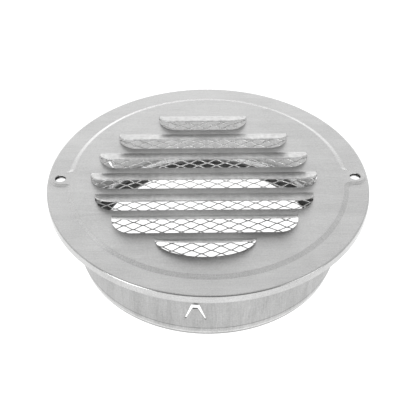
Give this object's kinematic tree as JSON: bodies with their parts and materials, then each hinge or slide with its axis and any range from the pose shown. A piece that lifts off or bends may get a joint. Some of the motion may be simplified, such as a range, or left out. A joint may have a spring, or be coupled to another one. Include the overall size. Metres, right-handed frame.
{
  "type": "round louvred wall vent",
  "caption": "Round louvred wall vent in satin steel: a pressed face plate with downward flaps over an insect screen, on a short collar with spring tongues that grips the inside of a duct.",
  "frame": {"origin": "centre of the collar's foot, where the vent stands on a bench with its face up", "axes": "+Z along the collar out of the wall, through the louvres; +Y up the wall; +X to the right of someone facing the wall"},
  "size_m": [0.117, 0.117, 0.0363],
  "materials": {
    "face_steel": "satin",
    "screen_metal": "satin",
    "collar_steel": "satin"
  },
  "bodies": {
    "root": {"face_plate": "face_steel", "mesh_screen": "screen_metal", "collar": "collar_steel"}
  },
  "joints": []
}
